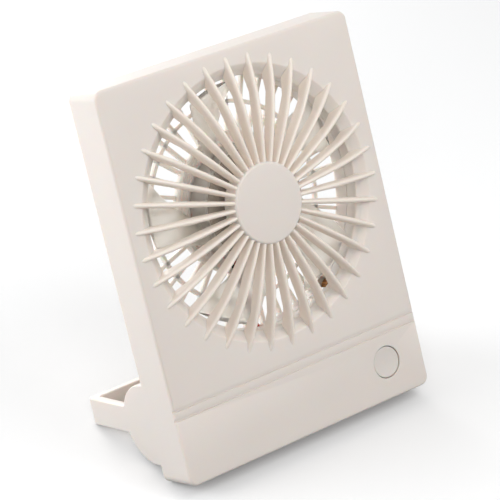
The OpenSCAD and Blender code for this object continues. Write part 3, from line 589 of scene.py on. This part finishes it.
@dataclass
class Workshop:
    """Makes pieces, dresses them and puts them on their bodies."""

    case: CaseFrame
    nodes: dict[str, bpy.types.Object]
    finishes: dict[Finish, bpy.types.Material]

    def dress(self, node: str, finish: Finish) -> None:
        """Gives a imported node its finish, over the whole of it."""
        mesh = self.nodes[node].data
        mesh.materials.clear()
        mesh.materials.append(self.finishes[finish])
        LOG.info("node %s: %s", node, finish.value)

    def finish_piece(self, piece: bpy.types.Object, body: str, finish: Finish,
                     replaced: tuple[str, ...]) -> bpy.types.Object:
        """Gives a new piece its finish, its body and the nodes that it stands for."""
        piece.data.materials.clear()
        piece.data.materials.append(self.finishes[finish])
        bpy.context.scene.collection.objects.link(piece)
        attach(piece, body)
        if replaced:
            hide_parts(*replaced)
        LOG.info("piece %s on %s: %d faces", piece.name, body, len(piece.data.polygons))
        return piece

    def mesh_of(self, name: str, surface: Surface) -> bpy.types.Mesh:
        """Turns a surface into a closed mesh in the row's frame, with its faces outwards."""
        mesh = bpy.data.meshes.new(name)
        mesh.from_pydata(self.case.to_row(surface.points).tolist(), [], surface.faces)
        form = bmesh.new()
        form.from_mesh(mesh)
        bmesh.ops.remove_doubles(form, verts=form.verts, dist=1e-7)
        bare = [edge for edge in form.edges if not edge.link_faces]
        bmesh.ops.delete(form, geom=bare, context="EDGES")
        bmesh.ops.recalc_face_normals(form, faces=form.faces)
        form.to_mesh(mesh)
        form.free()
        return mesh

    def carved(self, name: str, surface: Surface, cutter: Surface) -> bpy.types.Mesh:
        """Takes the cutter's space out of a surface and returns the mesh that is left."""
        scene = bpy.context.scene
        block = bpy.data.objects.new(name, self.mesh_of(name, surface))
        tool = bpy.data.objects.new(name + "_tool", self.mesh_of(name + "_tool", cutter))
        for item in (block, tool):
            scene.collection.objects.link(item)
        cut = block.modifiers.new("cut", "BOOLEAN")
        cut.operation = "DIFFERENCE"
        cut.solver = "EXACT"
        cut.object = tool
        mesh = bpy.data.meshes.new_from_object(
            block.evaluated_get(bpy.context.evaluated_depsgraph_get()))
        mesh.name = name
        for item in (block, tool):
            bpy.data.objects.remove(item)
        return mesh

    def make(self, name: str, surface: Surface, body: str, finish: Finish,
             replaced: tuple[str, ...] = (), cutter: Surface | None = None) -> bpy.types.Object:
        """Makes a piece from a surface.

        Args:
            name: the piece's name.
            surface: its points in millimetres, in the case's frame.
            body: the body that it rides.
            finish: its material slot.
            replaced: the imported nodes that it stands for.
            cutter: a closed surface whose space is taken out.

        Returns:
            The piece.
        """
        mesh = self.carved(name, surface, cutter) if cutter else self.mesh_of(name, surface)
        self.smooth(mesh)
        return self.finish_piece(bpy.data.objects.new(name, mesh), body, finish, replaced)

    def round_rim(self, form: bmesh.types.BMesh, radius: float, width: float) -> None:
        """Rounds the ring of edges that lies on the face, radius away from the fan's axis."""
        form.verts.ensure_lookup_table()
        x, y, z = self.case.to_case(np.array([vert.co for vert in form.verts])).T
        near = (np.abs(np.hypot(x, z - FAN_HEIGHT) - radius) < 0.05) & (np.abs(y) < 0.05)
        ring = [edge for edge in form.edges if all(near[vert.index] for vert in edge.verts)]
        bmesh.ops.bevel(form, geom=ring, offset=width * MM, segments=5, profile=0.5,
                        affect="EDGES")

    def soften(self, node: str, name: str, body: str, finish: Finish, width: float,
               rim: tuple[float, float] | None = None, segments: int = 2) -> bpy.types.Object:
        """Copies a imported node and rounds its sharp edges, as a moulding tool would.

        Args:
            node: the node that is copied and stood for.
            name: the piece's name.
            body: the body that it rides.
            finish: its material slot.
            width: width of the rounding, in millimetres.
            rim: radius and width of a wider rounding round the fan's opening.
            segments: steps in the rounding.

        Returns:
            The piece.
        """
        mesh = self.nodes[node].data.copy()
        mesh.name = name
        form = bmesh.new()
        form.from_mesh(mesh)
        bmesh.ops.remove_doubles(form, verts=form.verts, dist=2e-6)
        bmesh.ops.dissolve_degenerate(form, edges=form.edges, dist=1e-6)
        bmesh.ops.dissolve_limit(form, angle_limit=math.radians(0.4), verts=form.verts,
                                 edges=form.edges)
        if rim:
            self.round_rim(form, *rim)
        form.to_mesh(mesh)
        form.free()
        piece = bpy.data.objects.new(name, mesh)
        bevel = piece.modifiers.new("rounding", "BEVEL")
        bevel.width = width * MM
        bevel.segments = segments
        bevel.limit_method = "ANGLE"
        bevel.angle_limit = math.radians(SHARP_DEG)
        bevel.miter_outer = "MITER_ARC"
        self.smooth(mesh)
        return self.finish_piece(piece, body, finish, (node,))

    @staticmethod
    def smooth(mesh: bpy.types.Mesh) -> None:
        """Shades the mesh smooth, apart from edges sharper than SHARP_DEG."""
        mesh.polygons.foreach_set("use_smooth", np.ones(len(mesh.polygons), bool))
        mesh.set_sharp_from_angle(angle=math.radians(SHARP_DEG))
        mesh.update()


@dataclass
class FrontGuard:
    """The domed guard: ribs that spring from a flat boss and end as points on the face."""

    shop: Workshop
    axis: FanAxis
    rib_count: int = 34
    boss_r: float = 14.15
    boss_h: float = 6.0
    boss_wall: float = 1.4
    boss_face: float = 1.8
    boss_skirt: float = 0.6
    boss_round: float = 0.9
    root_w: float = 1.5
    rib_w: float = 1.95
    rib_d: float = 3.4
    rise: float = 5.6
    curve: float = 3.1
    crown: float = 1.6
    duct_r: float = 44.0
    ring_r: float = 45.2
    lip_r: float = 47.9
    lip_d: float = 1.9
    tip_r: float = 51.6
    tip_w: float = 1.6
    tip_len: float = 1.5
    edge_half: float = 0.05
    swell_from: float = 1.0
    swell_len: float = 14.0
    narrow_from: float = 4.0
    seat_len: float = 6.0
    splay: tuple[float, float] = (1.06, 1.03)
    sunk: float = 0.18
    ring_tuck: float = 0.15
    ring_fall: float = 0.75
    ring_drop: float = 1.0
    seam_y: float = 7.8
    window_y: float = 4.5
    window_at: float = -56.8
    window_deg: float = 6.5

    def crest(self, radius: np.ndarray) -> np.ndarray:
        """Height of a rib's crest in front of the face.

        The rise times one less the power, curve, of the distance from the boss as a share of
        the way to the tip.
        """
        share = np.clip((radius - self.boss_r) / (self.tip_r - self.boss_r), 0.0, 1.0)
        return self.rise * (1.0 - share**self.curve)

    def rib_rings(self, degrees: np.ndarray) -> np.ndarray:
        """Sections of every rib.

        A section has flanks that splay a little towards the foot and a half ellipse for a crown.
        Its width grows on a smooth step from the root's to the full one, narrows evenly to the
        tip's over the duct's edge, and ends in a quarter ellipse on each side. Its foot follows
        the guard's inner edge, the seating ring, the sloped lip and the face, and is sunk a
        little into what it stands on.

        Args:
            degrees: direction of each rib.

        Returns:
            Array of ribs, sections, points and coordinates.
        """
        root = self.boss_r - self.boss_wall / 2
        seat = self.duct_r - self.seat_len
        foot_r = np.array([root, seat, self.duct_r, self.ring_r - 0.05, self.ring_r + 0.04,
                           self.lip_r - 0.05, self.tip_r])
        foot_h = np.array([self.rise - self.rib_d,
                           float(self.crest(np.array(seat))) - self.rib_d,
                           -self.lip_d - 0.2, -self.lip_d - 0.3,
                           0.15 - self.lip_d, 0.0, 0.0])
        tip_start = self.tip_r - self.tip_len
        stations = np.unique(np.concatenate([
            np.linspace(root, tip_start, 34), foot_r[1:-1],
            self.tip_r - self.tip_len * (1.0 - np.linspace(0.0, 1.0, 12)) ** 1.4,
        ]))
        foot = np.interp(stations, foot_r, foot_h) - self.sunk
        step = np.clip((stations - self.boss_r - self.swell_from) / self.swell_len, 0.0, 1.0)
        step = step * step * (3.0 - 2.0 * step)
        left = np.clip((self.tip_r - stations) / self.tip_len, 0.0, 1.0)
        narrow_r = self.duct_r - self.narrow_from
        ease = np.clip((stations - narrow_r) / (self.tip_r - narrow_r), 0.0, 1.0)
        width = self.root_w + (self.rib_w - self.root_w) * step - (self.rib_w - self.tip_w) * ease
        half = np.maximum(width / 2 * np.sqrt(1.0 - (1.0 - left) ** 2), self.edge_half)
        top = self.crest(stations)
        crown = np.minimum(self.crown * half / (self.rib_w / 2), 0.98 * (top - foot))
        arc = np.linspace(np.pi, 0.0, 13)
        climb = np.array([0.0, 0.5])
        flank = np.array(self.splay)
        aside = np.concatenate([-flank, np.cos(arc), flank[::-1]])
        wall = np.concatenate([climb, np.ones(13), climb[::-1]])
        bow = np.concatenate([np.zeros(2), np.sin(arc), np.zeros(2)])
        height = (foot[:, None] + (top - crown - foot)[:, None] * wall
                  + crown[:, None] * bow)
        return self.axis.place(stations[None, :, None], half[None, :, None] * aside,
                               -height[None], degrees[:, None, None])

    def build(self) -> None:
        """Builds the ribs, the boss and the seating ring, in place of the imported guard."""
        degrees = 90.0 + np.arange(self.rib_count) * 360.0 / self.rib_count
        ribs = Surface.joined([lofted(rings) for rings in self.rib_rings(degrees)])
        self.shop.make("guard_ribs", ribs, "case", Finish.GUARD, ("front_guard",))
        inner = self.boss_r - self.boss_wall
        lip = self.boss_round
        turn = np.linspace(0.0, np.pi / 2, 9)
        rim = np.stack([self.boss_r - lip * (1 - np.cos(turn)),
                        -self.boss_h + lip * (1 - np.sin(turn))], axis=-1)
        boss = np.concatenate([
            [[inner, self.boss_skirt], [self.boss_r, self.boss_skirt]], rim,
            [[0.0, -self.boss_h], [0.0, self.boss_face - self.boss_h],
             [inner, self.boss_face - self.boss_h]],
        ])
        # The boss, one moulding with the ribs, takes the shells' greyer colour as painted shade.
        self.shop.make("guard_boss", self.axis.turned(boss), "case", Finish.SHELL)
        ring_in, ring_out = self.duct_r, self.ring_r
        t = np.linspace(0.0, 1.0, 8)[:, None]
        knee = np.array([ring_in, self.lip_d + self.ring_fall])
        edge = np.array([ring_out + self.ring_tuck, self.lip_d - 0.1])
        bend = ((1 - t) ** 2 * edge + 2 * t * (1 - t) * knee
                + t**2 * np.array([ring_in, self.lip_d + self.ring_drop]))
        whole = np.concatenate([bend, [[ring_in, self.window_y], [ring_out, self.window_y]]])
        part = softened_outline(np.array([
            [ring_in, self.window_y - 0.01], [ring_out, self.window_y - 0.01],
            [ring_out, self.seam_y], [ring_in, self.seam_y]]), 0.02, 1)
        ring = Surface.joined([
            self.axis.turned(whole),
            self.axis.turned(part, self.window_at + self.window_deg / 2,
                             360.0 - self.window_deg),
        ])
        # The ring, one moulding with the ribs, takes the shells' greyer colour as painted shade.
        self.shop.make("guard_ring", ring, "case", Finish.SHELL)


@dataclass
class BackGrille:
    """The back grille: a rim, a middle ring and spokes round the plate that holds the motor."""

    shop: Workshop
    axis: FanAxis
    front_y: float = 14.0
    back_y: float = 16.0
    slot_r: float = 45.0
    rim_r: float = 49.6
    mid_r: float = 35.0
    bar_w: float = 1.4
    spoke_count: int = 36
    plate_r: float = 25.0
    plate_y: float = 12.8
    plate_edge: float = 0.2
    dish: float = 0.6
    dish_in: float = 2.0
    tube_y: float = 7.0
    tube_r: float = 3.98
    bore_r: float = 2.6
    bore_end: float = 14.5
    overlap: float = 0.8
    ridge_in: float = 4.6
    ridge_count: int = 4
    ridge_pitch: float = 1.25
    ridge_w: float = 0.6
    ridge_h: float = 0.35
    screw_r: float = 47.3
    recess_r: float = 1.7
    recess_y: float = 14.9
    shank_r: float = 1.0
    edge: float = 0.3
    groove: tuple[tuple[float, float], ...] = (
        (-9.75, 70.4), (-6.25, 70.4), (-4.75, 58.4), (-8.25, 58.4))
    groove_d: float = 1.45

    def ring(self, inner: float, outer: float) -> Surface:
        """A flat ring of the grille's depth with soft edges."""
        return self.axis.turned(softened_outline(np.array([
            [inner, self.front_y], [outer, self.front_y],
            [outer, self.back_y], [inner, self.back_y]]), self.edge, 3))

    def spoke(self, degrees: float) -> Surface:
        """A bar with soft edges, from inside the plate to inside the rim."""
        half = self.bar_w / 2
        section = softened_outline(np.array([
            [-half, self.front_y], [half, self.front_y],
            [half, self.back_y], [-half, self.back_y]]), self.edge, 3)
        ends = np.array([self.plate_r - self.overlap, self.slot_r + self.overlap])[:, None]
        return lofted(self.axis.place(ends, section[None, :, 0], section[None, :, 1], degrees))

    def post(self, at: tuple[float, float], radius: float, start: float, end: float) -> Surface:
        """A round bar along the depth, used to bore a hole."""
        angle = np.linspace(0.0, 2 * np.pi, 32, endpoint=False)
        ring = np.stack([at[0] + radius * np.cos(angle), np.zeros(32),
                         at[1] + radius * np.sin(angle)], axis=-1)
        return lofted(np.stack([ring + [0.0, start, 0.0], ring + [0.0, end, 0.0]]))

    def plate(self) -> np.ndarray:
        """Outline of the motor's plate and bearing tube, as radius and depth."""
        first = self.plate_r - self.ridge_in + np.arange(self.ridge_count) * self.ridge_pitch
        crest = self.plate_y - self.ridge_h
        ridges = np.stack([
            np.stack([first, first, first + self.ridge_w, first + self.ridge_w], axis=-1),
            np.tile([self.plate_y, crest, crest, self.plate_y], (self.ridge_count, 1)),
        ], axis=-1).reshape(-1, 2)
        return np.concatenate([
            [[self.bore_r, self.tube_y], [self.tube_r, self.tube_y],
             [self.tube_r, self.plate_y]], ridges,
            [[self.plate_r - self.plate_edge, self.plate_y],
             [self.plate_r, self.plate_y + self.plate_edge],
             [self.plate_r, self.back_y - self.edge], [self.plate_r - self.edge, self.back_y],
             [self.plate_r - self.dish_in, self.back_y],
             [self.plate_r - self.dish_in - self.dish, self.back_y - self.dish],
             [0.0, self.back_y - self.dish], [0.0, self.bore_end],
             [self.bore_r, self.bore_end]],
        ])

    def lead_groove(self) -> Surface:
        """The slot across the plate that the motor's leads lie in."""
        outline = np.array(self.groove)
        ring = np.stack([outline[:, 0], np.zeros(4), outline[:, 1]], axis=-1)
        return lofted(np.stack([ring + [0.0, self.plate_y - 1.0, 0.0],
                                ring + [0.0, self.plate_y + self.groove_d, 0.0]]))

    def build(self) -> None:
        """Builds the rim, the bars and the plate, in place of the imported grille."""
        corners = np.radians([45.0, 135.0, 225.0, 315.0])
        holes = []
        for turn in corners:
            at = (self.screw_r * math.cos(turn), FAN_HEIGHT + self.screw_r * math.sin(turn))
            holes.append(self.post(at, self.shank_r, self.front_y - 1, self.recess_y + 0.1))
            holes.append(self.post(at, self.recess_r, self.recess_y, self.back_y + 1))
        self.shop.make("grille_rim", self.ring(self.slot_r, self.rim_r), "case", Finish.GRILLE,
                       ("rear_grille",), Surface.joined(holes))
        turns = np.arange(self.spoke_count) * 360.0 / self.spoke_count
        bars = [self.spoke(turn) for turn in turns]
        bars.append(self.ring(self.mid_r - self.bar_w / 2, self.mid_r + self.bar_w / 2))
        self.shop.make("grille_bars", Surface.joined(bars), "case", Finish.GRILLE)
        # The motor plate's paler grille colour is painted light inside the fan.
        self.shop.make("motor_plate", self.axis.turned(self.plate()), "case", Finish.GRILLE,
                       cutter=self.lead_groove())


@dataclass
class Impeller:
    """The moulded impeller: a thin hub ring and twisted blades."""

    shop: Workshop
    axis: FanAxis
    blade_count: int = 5
    tip_r: float = 42.0
    hub_r: float = 20.5
    hub_wall: float = 1.0
    hub_y: float = 2.9
    hub_len: float = 8.7
    root_half: float = 12.0
    tip_half: float = 17.2
    sweep: float = 27.0
    first_at: float = 194.0
    depth: float = 6.6
    thick: float = 1.1
    hub_edge: float = 0.25
    sections: int = 30
    chord_steps: int = 26

    def blade_rings(self, turn: float) -> np.ndarray:
        """Sections of one blade, from its root to its tip.

        At the share t of the way out, a section spans the root's half angle blended by t into
        the tip's, about a middle that is swept round by t to the power 0.7. From its front edge
        to its rear one its depth grows evenly. Its thickness follows 0.35 plus 0.65 of a half
        sine wave, and closes over the last part as the root of one less the 12th power of the
        distance from mid-chord.

        Args:
            turn: angle of the blade round the hub.

        Returns:
            Array of sections, points and coordinates.
        """
        share = np.linspace(0.0, 1.0, self.sections)[:, None]
        root = self.hub_r - self.hub_wall / 2
        radius = root + (self.tip_r - root) * share
        half = self.root_half + (self.tip_half - self.root_half) * share
        middle = self.first_at - self.sweep * share**0.7 + turn
        across = 2 * np.radians(half) * radius
        length = np.hypot(across, self.depth)
        way = (1 - np.cos(np.linspace(0.0, np.pi, self.chord_steps))) / 2
        chord = np.concatenate([way, way[-2:0:-1]])[None, :]
        face = np.concatenate([-np.ones(len(way)), np.ones(len(way) - 2)])[None, :]
        edge = np.sqrt(1 - np.clip(np.abs(2 * chord - 1), 0, 1) ** 12)
        side = face / 2 * self.thick * (0.35 + 0.65 * np.sin(np.pi * chord)) * edge
        start = self.hub_y + (self.hub_len - self.depth) / 2
        return self.axis.place(radius, side * self.depth / length,
                               start + self.depth * chord + side * across / length,
                               middle + half * (1 - 2 * chord))

    def build(self) -> None:
        """Builds the hub ring and the blades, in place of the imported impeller."""
        hub = softened_outline(np.array([
            [self.hub_r - self.hub_wall, self.hub_y], [self.hub_r, self.hub_y],
            [self.hub_r, self.hub_y + self.hub_len],
            [self.hub_r - self.hub_wall, self.hub_y + self.hub_len]]), self.hub_edge, 3)
        parts = [self.axis.turned(hub)]
        parts += [lofted(self.blade_rings(turn))
                  for turn in np.arange(self.blade_count) * 360.0 / self.blade_count]
        self.shop.make("impeller_blades", Surface.joined(parts), "rotor", Finish.BLADE,
                       ("fan_impeller",))


@dataclass
class RotorCup:
    """The pressed steel cup that holds the ring magnet."""

    shop: Workshop
    axis: FanAxis
    outer_r: float = 19.46
    wall: float = 1.0
    face_y: float = 3.3
    end_y: float = 11.0
    corner: float = 0.6
    collar_r: float = 3.0
    collar_len: float = 1.6
    bore_r: float = 1.51

    def build(self) -> None:
        """Builds the cup with a rounded corner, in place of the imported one."""
        turn = np.linspace(0.0, np.pi / 2, 9)
        corner = np.stack([self.outer_r - self.corner * (1 - np.sin(turn)),
                           self.face_y + self.corner * (1 - np.cos(turn))], axis=-1)
        inside = self.face_y + self.wall
        outline = np.concatenate([
            [[self.bore_r, self.face_y]], corner,
            [[self.outer_r, self.end_y], [self.outer_r - self.wall, self.end_y],
             [self.outer_r - self.wall, inside], [self.collar_r, inside],
             [self.collar_r, inside + self.collar_len],
             [self.bore_r, inside + self.collar_len]],
        ])
        self.shop.make("rotor_cup_pressed", self.axis.turned(outline), "rotor",
                       Finish.MOTOR_STEEL, ("rotor_cup",))


@dataclass
class Wiring:
    """The insulated leads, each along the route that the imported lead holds."""

    shop: Workshop
    radius: float = 0.6
    aside: tuple[float, float, float] = (0.35, 1.0, 0.2)
    half_pitch: float = 0.75
    motor_y: float = 13.44
    motor_back_y: float = 13.34
    board_y: float = 9.82

    def motor_route(self, side: float) -> np.ndarray:
        """Route of one motor lead, side millimetres right of the middle of the pair."""
        y, back = self.motor_y, self.motor_back_y
        return np.array([
            [-7.9 + side, y, 70.0], [-7.3 + side, y + 0.02, 65.0], [-6.7 + side, back, 60.0],
            [-5.9 + side, back, 52.0], [-5.3 + side, back, 45.5],
            [-4.95 + side, back - 0.24, 42.0], [-4.7 + side, back - 1.64, 38.8],
            [-2.6 + side, 10.9, 36.4 + side], [4.0, 10.4, 35.4 + side],
            [14.0, 10.1, 34.8 + side], [22.0, 10.0, 34.4 + side],
            [27.5, self.board_y, 34.2 + side],
        ])

    def build(self) -> None:
        """Builds the two motor leads."""
        for name, side, finish in (("motor_lead_red", self.half_pitch, Finish.RED_LEAD),
                                   ("motor_lead_black", -self.half_pitch, Finish.BLACK_LEAD)):
            route = smooth_route(self.motor_route(side), 8)
            self.shop.make(name + "_tube", tube(route, self.radius, self.aside), "case", finish,
                           (name,))


PLAIN_NODES = {
    "rotor_magnet": Finish.MAGNET, "motor_shaft": Finish.PLAIN_STEEL,
    "shaft_bushes": Finish.BRONZE, "stator_core": Finish.PLAIN_STEEL,
    "stator_coils": Finish.COPPER, "motor_board": Finish.BOARD,
    "tact_switch": Finish.PLAIN_STEEL, "switch_plunger": Finish.BLACK_PLASTIC,
    "circuit_board": Finish.BOARD, "control_chip": Finish.BLACK_PLASTIC,
    "boost_choke": Finish.COPPER, "usb_c_socket": Finish.PLAIN_STEEL,
    "charge_led": Finish.LIGHT_PIPE, "battery_cell": Finish.CELL_WRAP,
    "battery_lead_red": Finish.RED_LEAD, "battery_lead_black": Finish.BLACK_LEAD,
    "hinge_pin_left": Finish.PLAIN_STEEL, "hinge_pin_right": Finish.PLAIN_STEEL,
    "friction_washer_left": Finish.PLAIN_STEEL, "friction_washer_right": Finish.PLAIN_STEEL,
    "stand_foot": Finish.SILICONE, "case_feet": Finish.SILICONE,
    "housing_screws": Finish.PLAIN_STEEL, "grille_screws": Finish.PLAIN_STEEL,
    "board_screws": Finish.PLAIN_STEEL,
}

SOFTENED_NODES = {
    "front_shell": ("case_front", "case", Finish.SHELL, 0.22, (47.9, 0.35)),
    "rear_shell": ("case_back", "case", Finish.SHELL, 0.2),
    "power_button": ("button_cap", "button", Finish.BUTTON, 0.18),
    "stand_loop": ("stand_bar", "stand", Finish.SHELL, 0.4),
}


# --- the stage -----------------------------------------------------------------------------------


@dataclass
class Stage:
    """A plain pale floor, soft light and the camera."""

    camera_at: tuple[float, float, float] = (-0.4895, -0.6089, 0.5036)
    camera_way: tuple[float, float, float] = (0.5447, 0.6810, -0.4894)
    lens_mm: float = 186.16
    sensor_mm: float = 36.0
    lamp_aim: tuple[float, float, float] = (0.0, 0.0, 0.06)
    floor_half: float = 3.0
    floor_fade: float = 0.12
    ambient: float = 0.5
    floor_colour: str = "f8f8f8"
    floor_lift: float = 0.04
    floor_bounce: str = "787878"

    def white_rays(self, tree: bpy.types.NodeTree) -> bpy.types.NodeSocket:
        """One for camera, glossy and transmission rays, and zero for the rest."""
        path = add_node(tree, "ShaderNodeLightPath")
        seen = add_node(tree, "ShaderNodeMath", {
            0: path.outputs["Is Camera Ray"], 1: path.outputs["Is Glossy Ray"],
        }, operation="MAXIMUM")
        seen = add_node(tree, "ShaderNodeMath", {
            0: seen.outputs[0], 1: path.outputs["Is Transmission Ray"],
        }, operation="MAXIMUM")
        return seen.outputs[0]

    def build_world(self) -> None:
        """A dome of even light that the camera sees as white."""
        world = bpy.data.worlds.new("soft_dome")
        world.use_nodes = True
        tree = world.node_tree
        tree.nodes.clear()
        level = add_node(tree, "ShaderNodeMapRange", {
            "Value": self.white_rays(tree), "To Min": self.ambient, "To Max": 1.0,
        })
        dome = add_node(tree, "ShaderNodeBackground", {
            "Color": (1.0, 1.0, 1.0, 1.0), "Strength": level.outputs["Result"],
        })
        add_node(tree, "ShaderNodeOutputWorld", {"Surface": dome.outputs["Background"]})
        bpy.context.scene.world = world

    def build_floor(self) -> None:
        """A matt white floor that keeps the fan's shadow and is white away from it."""
        half = self.floor_half
        mesh = bpy.data.meshes.new("floor")
        mesh.from_pydata([(-half, -half, 0), (half, -half, 0), (half, half, 0), (-half, half, 0)],
                         [], [(0, 1, 2, 3)])
        material, tree = start_material("matt_white_floor")
        white = self.white_rays(tree)
        split = add_node(tree, "ShaderNodeSeparateXYZ", {"Vector": place_on_object(tree)})
        behind = add_node(tree, "ShaderNodeMapRange", {
            "Value": split.outputs["Y"], "From Min": 0.0, "From Max": self.floor_fade,
        })
        pale = add_node(tree, "ShaderNodeMath", {0: white, 1: behind.outputs["Result"]},
                        operation="MAXIMUM")
        colour = blend(tree, pale.outputs[0], self.floor_bounce, self.floor_colour)
        matt = add_node(tree, "ShaderNodeBsdfDiffuse", {"Color": colour})
        lift = add_node(tree, "ShaderNodeMath", {0: white, 1: self.floor_lift},
                        operation="MULTIPLY")
        glow = add_node(tree, "ShaderNodeEmission", {"Strength": lift.outputs[0]})
        both = add_node(tree, "ShaderNodeAddShader", {
            0: matt.outputs["BSDF"], 1: glow.outputs["Emission"],
        })
        close_material(tree, both.outputs["Shader"])
        mesh.materials.append(material)
        floor = bpy.data.objects.new("floor", mesh)
        bpy.context.scene.collection.objects.link(floor)

    def add_lamp(self, name: str, place: tuple[float, float, float], size: float,
                 power: float, tint: tuple[float, float, float] = (1.0, 1.0, 1.0)) -> None:
        """Adds a square soft lamp that points at the fan.

        Args:
            name: the lamp's name.
            place: where it hangs, in metres.
            size: side of the lamp, in metres.
            power: its power in watts.
            tint: its colour.
        """
        light = bpy.data.lights.new(name, "AREA")
        light.size = size
        light.energy = power
        light.color = tint
        lamp = bpy.data.objects.new(name, light)
        bpy.context.scene.collection.objects.link(lamp)
        lamp.location = place
        way = Vector(self.lamp_aim) - Vector(place)
        lamp.rotation_euler = way.to_track_quat("-Z", "Y").to_euler()

    def build_camera(self) -> None:
        """The camera, above the fan's left front."""
        data = bpy.data.cameras.new("camera")
        data.lens = self.lens_mm
        data.sensor_width = self.sensor_mm
        camera = bpy.data.objects.new("camera", data)
        bpy.context.scene.collection.objects.link(camera)
        turn = Vector(self.camera_way).to_track_quat("-Z", "Y").to_matrix().to_4x4()
        camera.matrix_world = Matrix.Translation(self.camera_at) @ turn
        bpy.context.scene.camera = camera

    def build(self) -> None:
        """Builds the whole stage."""
        bpy.context.scene.view_settings.view_transform = "Standard"
        self.build_world()
        self.build_floor()
        self.build_camera()
        self.add_lamp("left_softbox", (-1.2, 0.6, 0.5), 0.9, 11.8, (0.97, 1.0, 1.03))
        self.add_lamp("front_softbox", (0.1, -0.26, 0.48), 0.25, 0.5)
        self.add_lamp("camera_softbox", (-0.4, -0.56, 0.5), 0.35, 1.3)
        self.add_lamp("right_softbox", (0.38, -0.62, 0.42), 0.2, 1.0)
        self.add_lamp("back_softbox", (0.12, 0.55, 0.1), 0.18, 0.75)
        self.add_lamp("backdrop", (0.0, 1.3, 0.45), 1.6, 6.0)


def main() -> None:
    """Loads the frame, dresses it and sets the stage."""
    logging.basicConfig(level=logging.INFO, format="%(message)s")
    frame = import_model()
    case = CaseFrame.from_joints(frame["joints"], FAN_HEIGHT)
    finishes = {finish: recipe.build(case) for finish, recipe in FINISHES.items()}
    shop = Workshop(case, frame["nodes"], finishes)
    axis = FanAxis(FAN_HEIGHT)
    Stage().build()
    for node, finish in PLAIN_NODES.items():
        shop.dress(node, finish)
    for node, rounding in SOFTENED_NODES.items():
        shop.soften(node, *rounding)
    FrontGuard(shop, axis).build()
    BackGrille(shop, axis).build()
    Impeller(shop, axis).build()
    RotorCup(shop, axis).build()
    Wiring(shop).build()


if __name__ == "__main__":
    main()
